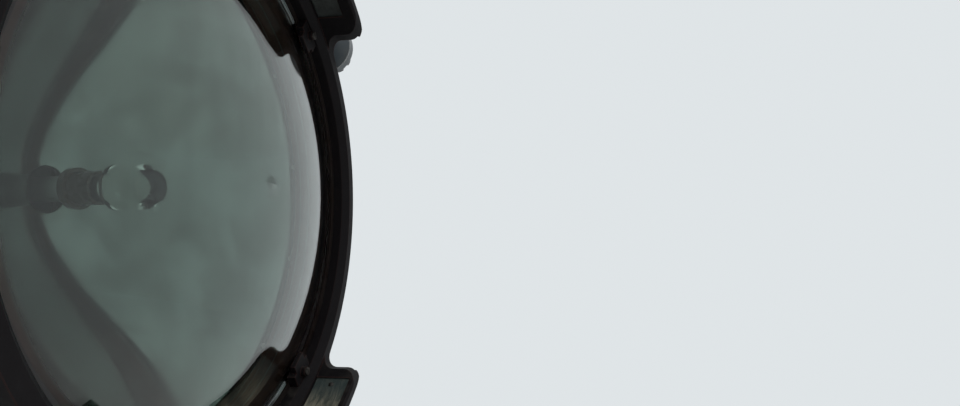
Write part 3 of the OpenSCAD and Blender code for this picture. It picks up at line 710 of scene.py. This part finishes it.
def add_piece(name, bm, body, look, sharp=32.0, recalc=False):
    """Makes the bmesh a piece that rides on a body, smooth but for its sharp edges."""
    if recalc:
        bmesh.ops.recalc_face_normals(bm, faces=bm.faces)
    limit = math.radians(sharp)
    for face in bm.faces:
        face.smooth = True
    for edge in bm.edges:
        edge.smooth = len(edge.link_faces) == 2 and edge.calc_face_angle(0) < limit
    piece = bpy.data.objects.new(name, as_mesh(bm, name))
    bpy.context.scene.collection.objects.link(piece)
    piece.data.materials.append(finish(look))
    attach(piece, body)
    return piece


def fasten(name, shape, places, body, look="bolt", sharp=32.0):
    """Makes one piece of like fasteners, one at each place."""
    return add_piece(name, stamped(places, shape), body, look, sharp)


# ---------------------------------------- settings

class BeaconLooks(bpy.types.PropertyGroup):
    """Colours that a user would change."""

    body_grey: FloatVectorProperty(
        name="Body Grey", description="Paint of the pedestal, yoke and drum",
        subtype="COLOR", size=3, default=(0.36, 0.385, 0.375), min=0, max=1)
    # Painted shade: the latch plates are far darker than the drum's grey, standing in for the shade they lie in.
    shaded_latch_grey: FloatVectorProperty(
        name="Shaded Latch Grey", description="Paint of the two latch plates",
        subtype="COLOR", size=3, default=(0.056, 0.067, 0.074), min=0, max=1)
    glass_tint: FloatVectorProperty(
        name="Glass Tint", description="Tint of the domed glass",
        subtype="COLOR", size=3, default=(0.49, 0.58, 0.54), min=0, max=1)


class BeaconSizes(bpy.types.PropertyGroup):
    """Sizes and counts of the fittings."""

    base_nut: FloatProperty(
        name="Base Nut", description="Width across the holding-down nuts",
        default=0.030, unit="LENGTH", min=0.02, max=0.036)
    rivet_r: FloatProperty(
        name="Rivet Radius", description="Radius of the shell's rivet heads",
        default=0.0045, unit="LENGTH", min=0.003, max=0.007)
    rivet_count: IntProperty(
        name="Rivets per Row", description="Rivets in each ring of the shell",
        default=36, min=12, max=72)
    flange_bolts: IntProperty(
        name="Flange Bolts", description="Bolts behind the drum's front flange",
        default=24, min=8, max=36)
    cover_bolts: IntProperty(
        name="Cover Bolts", description="Bolts round the rear cover",
        default=16, min=8, max=24)


# ---------------------------------------- operators

class BEACON_OT_finishes(bpy.types.Operator):
    """Give every node of the frame its finish"""

    bl_idname = "beacon.finishes"
    bl_label = "Finishes"

    look_of_slot = {
        "pedestal_paint": "pedestal", "cover_paint": "cover", "motor_paint": "motor",
        "gland_metal": "gland", "bright_steel": "steel", "yoke_paint": "yoke",
        "clamp_steel": "clamp", "drum_paint": "drum", "handle_paint": "handle",
        "trunnion_paint": "trunnion", "quadrant_steel": "quadrant", "mirror_face": "mirror",
        "inner_metal": "inner", "socket_brass": "porcelain", "lamp_glass": "lamp",
        "latch_paint": "latch", "ring_paint": "ring", "liner_metal": "liner",
        "gasket_rubber": "rubber", "dome_glass": "glass", "bezel_brass": "bezel",
    }
    look_of_node = {
        # The upper hood's liner takes the darker copy of the sheet: painted shade.
        "hood_liner_upper": "liner_shaded", "glass_clips": "clip",
        "drum_shell": "lined_drum", "drum_front_flange": "lined_flange",
    }

    def execute(self, context):
        for part in frame["record"]["subparts"]:
            node = NODES[part["node"]]
            look = self.look_of_node.get(part["node"]) or self.look_of_slot[part["material_slot"]]
            node.data.materials.clear()
            node.data.materials.append(finish(look))
        return {"FINISHED"}


class BEACON_OT_pedestal_bolts(bpy.types.Operator):
    """Bolt the pedestal down and its castings together"""

    bl_idname = "beacon.pedestal_bolts"
    bl_label = "Pedestal Bolts"

    head_flange_t = 26 * MM
    head_bolt_r = 0.1405
    drive_sector = (50, 130)

    def execute(self, context):
        base = next(m for m in frame["record"]["mounts"] if m["name"] == "base_bolts")
        count, pcd = base["dims"]["count"], base["dims"]["pcd_mm"] * MM
        nut = hex_head(across=context.scene.beacon_sizes.base_nut, height=16 * MM,
                       washer_r=18.5 * MM, washer_t=3 * MM, stud=12 * MM, stud_r=9.5 * MM)
        places = level_circle((0, 0, top("base_flange")), pcd / 2,
                              staggered(count, start=180 / count))
        fasten("holding_down_nuts", nut, places, "pedestal")

        foot_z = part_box("bearing_head")[0].z + self.head_flange_t
        low, high = self.drive_sector
        heads = [(a, t) for a, t in staggered(12) if not low < math.degrees(a) < high]
        fasten("head_foot_bolts", hex_head(across=13 * MM, height=6 * MM),
               level_circle((0, 0, foot_z), self.head_bolt_r, heads), "pedestal")
        return {"FINISHED"}


class BEACON_OT_access_screws(bpy.types.Operator):
    """Screw the access cover on"""

    bl_idname = "beacon.access_screws"
    bl_label = "Access Cover Screws"

    inset = 10 * MM

    def execute(self, context):
        low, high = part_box("access_cover")
        middle_z = ((low + high) / 2).z
        half_w, half_h = (high.x - low.x) / 2 - self.inset, (high.z - low.z) / 2 - self.inset
        corners = [(x * half_w, middle_z + z * half_h) for x in (-1, 1) for z in (-1, 1)]
        places = [facing((x, low.y, z), (0, -1, 0), t) for (x, z), t in zip(corners, turns(4))]
        fasten("access_screws", slotted_head(r=5.2 * MM, height=2.6 * MM), places, "pedestal",
               "plated")
        return {"FINISHED"}


class BEACON_OT_drive_screws(bpy.types.Operator):
    """Screw the gearbox cap and the motor flange on"""

    bl_idname = "beacon.drive_screws"
    bl_label = "Drive Screws"

    cap_screw_r = 33 * MM
    flange_bolt_r = 55 * MM

    def execute(self, context):
        low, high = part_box("drive_motor")
        centre = (low + high) / 2
        places = level_circle((centre.x, centre.y, top("drive_gearbox")), self.cap_screw_r,
                              in_line(6, start=30))
        fasten("gearbox_cap_screws", socket_head(r=4.5 * MM, height=5 * MM), places, "pedestal")
        places = level_circle((centre.x, centre.y, high.z), self.flange_bolt_r,
                              staggered(6, start=15), up=-1)
        fasten("motor_flange_bolts", hex_head(across=10 * MM, height=5 * MM), places, "pedestal")
        return {"FINISHED"}


class BEACON_OT_yoke_bolts(bpy.types.Operator):
    """Bolt the turntable, the beam, the arms and the bearing caps"""

    bl_idname = "beacon.yoke_bolts"
    bl_label = "Yoke Bolts"

    table_screw_r, table_screw_sink = 0.212, 6 * MM
    pocket_depth = 34 * MM
    pockets = ((-0.13, 0.028, 4), (0.0, 0.034, 6), (0.13, 0.028, 4))
    foot_t = 16 * MM
    foot_rows, foot_steps = (0.4015, 0.4625), (-0.09, 0.0, 0.09)
    cap_bolt_r, cap_boss = 36 * MM, 6 * MM

    def execute(self, context):
        screw_z = top("turntable") - self.table_screw_sink
        fasten("turntable_screws", socket_head(r=8 * MM, height=8 * MM),
               level_circle((0, 0, screw_z), self.table_screw_r, in_line(6, start=30)), "yoke")

        bolt = hex_head(across=19 * MM, height=9 * MM, washer_r=12 * MM, washer_t=2 * MM)
        spots = [(x + r * math.cos(a), r * math.sin(a))
                 for x, r, count in self.pockets for a in spread(count, start=45)]
        fasten("beam_bolts", bolt, level_spots(spots, top("yoke_beam") - self.pocket_depth),
               "yoke")

        spots = [(side * x, y) for side in (-1, 1) for x in self.foot_rows
                 for y in self.foot_steps]
        fasten("arm_foot_bolts", hex_head(across=16 * MM, height=8 * MM),
               level_spots(spots, top("yoke_beam") + self.foot_t), "yoke")

        places = []
        for side, node in ((-1, "bearing_cap_left"), (1, "bearing_cap_right")):
            low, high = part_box(node)
            face = (high.x if side > 0 else -low.x) - self.cap_boss
            places += [facing((side * face, self.cap_bolt_r * math.cos(a),
                               AXIS_Z + self.cap_bolt_r * math.sin(a)), (side, 0, 0), t)
                       for a, t in staggered(6, start=30)]
        fasten("bearing_cap_bolts", hex_head(across=11 * MM, height=5 * MM), places, "yoke")
        return {"FINISHED"}


class BEACON_OT_shell_rivets(bpy.types.Operator):
    """Rivet the drum's shell, with a lapped seam strap low on one side"""

    bl_idname = "beacon.shell_rivets"
    bl_label = "Shell Rivets and Seam"

    row_inset = 12 * MM
    seam = math.radians(232)
    strap_t, strap_half_w, strap_inset = 1.6 * MM, 18 * MM, 4 * MM
    seam_rivets, seam_pitch, seam_first = 14, 30 * MM, 20 * MM

    def execute(self, context):
        sizes = context.scene.beacon_sizes
        ends = (back("drum_shell") + self.row_inset, front("drum_shell") - self.row_inset)
        places = [on_drum(a, SHELL_R, z) for z in ends for a in spread(sizes.rivet_count, start=5)]
        strap_r = SHELL_R + self.strap_t
        half = self.strap_half_w / strap_r
        for side in (-0.6, 0.6):
            places += [on_drum(self.seam + side * half, strap_r,
                               ends[0] + self.seam_first + i * self.seam_pitch)
                       for i in range(self.seam_rivets)]
        rivet = rivet_head(sizes.rivet_r, sizes.rivet_r * 0.6)
        fasten("shell_rivets", rivet, places, "drum", "rivet", sharp=60)
        strap = self.strap(strap_r, half, ends[0] + self.strap_inset, ends[1] - self.strap_inset)
        add_piece("seam_strap", strap, "drum", "drum", recalc=True)
        return {"FINISHED"}

    def strap(self, r, half, low, high):
        """The seam strap: a bent sheet given its thickness inwards."""
        bm = bmesh.new()
        x, y = r * math.cos(self.seam - half), r * math.sin(self.seam - half)
        ends = [bm.verts.new((x, y, z)) for z in (low, high)]
        line = bm.edges.new(ends)
        bmesh.ops.spin(bm, geom=ends + [line], cent=(0, 0, 0), axis=(0, 0, 1), steps=6,
                       angle=2 * half)
        bmesh.ops.transform(bm, matrix=ON_AXIS, verts=bm.verts)
        bmesh.ops.recalc_face_normals(bm, faces=bm.faces)
        bm.faces.ensure_lookup_table()
        out = bm.faces[0].calc_center_median() - Vector((0, 0, AXIS_Z))
        out.y = 0
        if bm.faces[0].normal.dot(out) < 0:
            bmesh.ops.reverse_faces(bm, faces=bm.faces)
        bmesh.ops.solidify(bm, geom=bm.faces[:], thickness=self.strap_t)
        return bm


class BEACON_OT_drum_bolts(bpy.types.Operator):
    """Bolt the drum's flanges, saddles, brackets and latch plates"""

    bl_idname = "beacon.drum_bolts"
    bl_label = "Drum Bolts"

    flange_bolt_r = 0.3345
    cover_bolt_r, cover_lip = 0.3265, 5 * MM
    saddle_bolt_r, saddle_t = 0.073, 8 * MM
    vent_bolt_r, vent_t = 0.074, 6 * MM
    flange_t = 23 * MM
    bracket_rise, bracket_in, bracket_gap, bracket_turn = 0.15, 28 * MM, 28 * MM, 11.2
    latch_in, latch_gap, latch_turn = 26 * MM, 18 * MM, 5.4

    def execute(self, context):
        sizes = context.scene.beacon_sizes
        bolt = hex_head(across=12 * MM, height=6 * MM)
        heads = staggered(sizes.flange_bolts, start=7.5)
        fasten("front_flange_bolts", bolt,
               drum_circle(self.flange_bolt_r, front("drum_shell"), heads, way=-1), "drum")

        small = hex_head(across=10 * MM, height=5 * MM, washer_r=6.5 * MM, washer_t=1 * MM)
        face = back("drum_rear_ring") - self.cover_lip
        heads = staggered(sizes.cover_bolts)
        fasten("rear_cover_bolts", small, drum_circle(self.cover_bolt_r, face, heads, way=-1),
               "drum")
        fasten("saddle_bolts", bolt, self.trunnion_places() + self.vent_places(), "drum")
        fasten("bracket_bolts", bolt, self.bracket_places() + self.latch_places(), "drum")
        return {"FINISHED"}

    def trunnion_places(self):
        """Round both trunnions, on the saddles that follow the shell."""
        saddle_r = SHELL_R + self.saddle_t
        places = []
        for side in (-1, 1):
            for a, t in staggered(6):
                up, along = self.saddle_bolt_r * math.sin(a), self.saddle_bolt_r * math.cos(a)
                out = math.sqrt(saddle_r ** 2 - up ** 2)
                places.append(on_saddle(side * out, up, along, t))
        return places

    def vent_places(self):
        """Round the ventilator's neck."""
        vent_r = SHELL_R + self.vent_t
        middle = (front("vent_neck") + back("vent_neck")) / 2
        places = []
        for a, t in staggered(8, start=22.5):
            across, along = self.vent_bolt_r * math.cos(a), self.vent_bolt_r * math.sin(a)
            up = math.sqrt(vent_r ** 2 - across ** 2)
            places.append(on_saddle(across, up, middle + along, t))
        return places

    def pair(self, x, y, gap, turn):
        """Two bolts behind the front flange, one above the other."""
        face = front("drum_front_flange") - self.flange_t
        return [ON_AXIS @ facing((x, y + side * gap, face), (0, 0, -1), side * turn)
                for side in (-1, 1)]

    def bracket_places(self):
        """Two for each hinge bracket."""
        x = JOINT_PLACE["front_door"][0] + self.bracket_in
        places = []
        for y in (self.bracket_rise, -self.bracket_rise):
            places += self.pair(x, y, self.bracket_gap, self.bracket_turn)
        return places

    def latch_places(self):
        """Two for each latch plate."""
        places = []
        for node in ("latch_plate_upper", "latch_plate_lower"):
            low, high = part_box(node)
            y = (low.z + high.z) / 2 - AXIS_Z
            places += self.pair(high.x - self.latch_in, y, self.latch_gap, self.latch_turn)
        return places


class BEACON_OT_optic_fittings(bpy.types.Operator):
    """Polish the reflector to a smooth bowl and fit its rim screws"""

    bl_idname = "beacon.optic_fittings"
    bl_label = "Optic Fittings"

    rim_inset = 6 * MM

    def execute(self, context):
        bowl = add_piece("reflector_bowl", smooth_copy("reflector"), "drum", "mirror",
                         sharp=20)
        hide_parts("reflector")
        places = drum_circle(radius("reflector") - self.rim_inset, front("reflector"),
                             staggered(12, start=15))
        fasten("reflector_rim_screws", slotted_head(r=4.2 * MM, height=2.4 * MM), places, "drum",
               "plated")
        return {"FINISHED"}


class BEACON_OT_door_fittings(bpy.types.Operator):
    """Fit the door's bezel screws, clip screws, seal strips and liner rivets"""

    bl_idname = "beacon.door_fittings"
    bl_label = "Door Fittings"

    clip_angles, clip_screw_inset = (56, 124, 232, 308), 8.7 * MM
    bezel_screws, bezel_screw_inset = 24, 4.3 * MM
    strip_arcs = ((61, 119), (237, 303))
    strip_insets, strip_depths = (15.2 * MM, 9.4 * MM), (3.9 * MM, 1.8 * MM)
    liner_t = 2.4 * MM
    liner_arcs = (("hood_liner_upper", 90, 24), ("hood_liner_lower", 270, 38))

    def execute(self, context):
        bezel_front = front("glass_bezel")
        heads = [(math.radians(a), t) for a, t in zip(self.clip_angles, turns(4))]
        places = drum_circle(BEZEL_R - self.clip_screw_inset, front("glass_clips"), heads)
        # The clip screws take the near-black screw finish: painted shade.
        fasten("clip_screws", slotted_head(r=6 * MM, height=3 * MM), places, "door",
               "shaded_screw")

        screw = slotted_head(r=2.8 * MM, height=1.0 * MM, slot=0.3)
        places = drum_circle(BEZEL_R - self.bezel_screw_inset, bezel_front,
                             staggered(self.bezel_screws, start=7.5))
        fasten("bezel_screws", screw, places, "door", "bezel")

        add_piece("seal_strips", self.strips(bezel_front), "door", "strip",
                  recalc=True)
        fasten("liner_rivets", rivet_head(r=4 * MM, height=2 * MM), self.liner_places(), "door",
               "shaded_screw", sharp=60)
        return {"FINISHED"}

    def strips(self, bezel_front):
        """A strip on the glass's seal between the two clips above and the two below."""
        bm = bmesh.new()
        inner, outer = (BEZEL_R - inset for inset in self.strip_insets)
        low, high = (bezel_front - depth for depth in self.strip_depths)
        for start, end in self.strip_arcs:
            arc_strip(bm, math.radians(start), math.radians(end), inner, outer, low, high)
        bmesh.ops.transform(bm, matrix=ON_AXIS, verts=bm.verts)
        return bm

    def liner_places(self):
        """Five rivets along the middle of each hood's liner."""
        places = []
        for node, middle, reach in self.liner_arcs:
            low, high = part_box(node)
            inner = max(high.z - AXIS_Z, AXIS_Z - low.z) - self.liner_t
            for off in (-reach, -reach / 2, 0, reach / 2, reach):
                a = math.radians(middle + off)
                inward = (-math.cos(a), -math.sin(a), 0)
                places.append(on_drum(a, inner, -(low.y + high.y) / 2, inward))
        return places


class BEACON_OT_stage(bpy.types.Operator):
    """Lay the floor, light it and set the camera"""

    bl_idname = "beacon.stage"
    bl_label = "Stage"

    floor_half = 1500.0
    floor_colour = (0.80, 0.80, 0.79)
    floor_fade = (1.6, 5.5)
    backdrop_colour = (0.74, 0.78, 0.80)
    backdrop_light = 0.55
    lit_centre = Vector((0, 0, 1.1))
    lamp_rows = (("key", (-4.2, -4.4, 6.4), 7.0, 330), ("fill", (6.0, -3.0, 4.6), 6.0, 150),
                 ("rim", (1.5, 6.0, 6.0), 6.0, 190))
    focal_px = 600.0
    image_w = 960.0
    pitch = math.radians(7.219)
    heading = math.radians(8.398)
    ring_front = Vector((0, -0.2905, AXIS_Z))
    from_ring = Vector((-0.654, -0.372, -0.111))

    def execute(self, context):
        scene = context.scene
        self.floor(scene)
        self.world(scene)
        self.lamps(scene)
        self.camera(scene)
        scene.view_settings.view_transform = "Standard"
        return {"FINISHED"}

    def floor(self, scene):
        """A pale floor that takes shadows near the beacon and fades to the backdrop."""
        bm = bmesh.new()
        bmesh.ops.create_grid(bm, x_segments=1, y_segments=1, size=self.floor_half)
        floor = bpy.data.objects.new("floor", as_mesh(bm, "floor"))
        scene.collection.objects.link(floor)
        r = Recipe("floor_pale")
        tone = r.shade(r.noise(0.8, 3), self.floor_colour, 0.97, 1.03)
        lit = r.node("ShaderNodeBsdfPrincipled", {}, {"Base Color": tone, "Roughness": 0.9})
        plain = r.node("ShaderNodeEmission", {}, {"Color": self.backdrop_colour})
        far = r.step(r.distance(r.place), *self.floor_fade) * r.backdrop_rays()
        mixed = r.node("ShaderNodeMixShader", {}, {0: far, 1: lit, 2: plain})
        floor.data.materials.append(r.end(mixed))

    def world(self, scene):
        """A plain backdrop, shown at full strength, that lights the beacon softly."""
        scene.world = bpy.data.worlds.new("studio")
        tree = Tree(scene.world)
        level = tree.node("ShaderNodeMapRange", {}, {
            "Value": tree.backdrop_rays(), "To Min": self.backdrop_light, "To Max": 1.0})
        plain = tree.node("ShaderNodeBackground", {}, {
            "Color": self.backdrop_colour, "Strength": level})
        tree.node("ShaderNodeOutputWorld", {}, {"Surface": plain})

    def lamps(self, scene):
        """Three wide soft lamps, each aimed at the beacon's middle."""
        for name, where, size, power in self.lamp_rows:
            data = bpy.data.lights.new(name, "AREA")
            data.shape = "DISK"
            data.size = size
            data.energy = power
            lamp = bpy.data.objects.new(name, data)
            lamp.visible_camera = False
            lamp.visible_glossy = False
            lamp.visible_transmission = False
            lamp.location = where
            lamp.rotation_mode = "QUATERNION"
            lamp.rotation_quaternion = (self.lit_centre - Vector(where)).to_track_quat("-Z", "Y")
            scene.collection.objects.link(lamp)

    def camera(self, scene):
        """The camera, placed from the front of the door's ring."""
        data = bpy.data.cameras.new("photo_camera")
        data.sensor_width = 36.0
        data.lens = self.focal_px * data.sensor_width / self.image_w
        data.clip_start = 0.02
        camera = bpy.data.objects.new("photo_camera", data)
        camera.location = self.ring_front + self.from_ring
        aim = Vector((math.cos(self.heading) * math.cos(self.pitch),
                      math.sin(self.heading) * math.cos(self.pitch), math.sin(self.pitch)))
        camera.rotation_mode = "QUATERNION"
        camera.rotation_quaternion = aim.to_track_quat("-Z", "Y")
        scene.collection.objects.link(camera)
        scene.camera = camera


class BEACON_PT_panel(bpy.types.Panel):
    """Sizes, colours and pieces of the beacon"""

    bl_idname = "BEACON_PT_panel"
    bl_label = "Beacon"
    bl_space_type = "VIEW_3D"
    bl_region_type = "UI"
    bl_category = "Beacon"

    def draw(self, context):
        for group in (context.scene.beacon_sizes, context.scene.beacon_looks):
            for name in group.__annotations__:
                self.layout.prop(group, name)
        for operator in OPERATORS:
            self.layout.operator(operator.bl_idname)


OPERATORS = (BEACON_OT_finishes, BEACON_OT_pedestal_bolts, BEACON_OT_access_screws,
             BEACON_OT_drive_screws, BEACON_OT_yoke_bolts, BEACON_OT_shell_rivets,
             BEACON_OT_drum_bolts, BEACON_OT_optic_fittings, BEACON_OT_door_fittings,
             BEACON_OT_stage)
CLASSES = (BeaconLooks, BeaconSizes, *OPERATORS, BEACON_PT_panel)


def register():
    for cls in CLASSES:
        bpy.utils.register_class(cls)
    bpy.types.Scene.beacon_looks = PointerProperty(type=BeaconLooks)
    bpy.types.Scene.beacon_sizes = PointerProperty(type=BeaconSizes)


def unregister():
    del bpy.types.Scene.beacon_sizes
    del bpy.types.Scene.beacon_looks
    for cls in reversed(CLASSES):
        bpy.utils.unregister_class(cls)


def main():
    register()
    for operator in OPERATORS:
        group, name = operator.bl_idname.split(".")
        getattr(getattr(bpy.ops, group), name)()


if __name__ == "__main__":
    main()
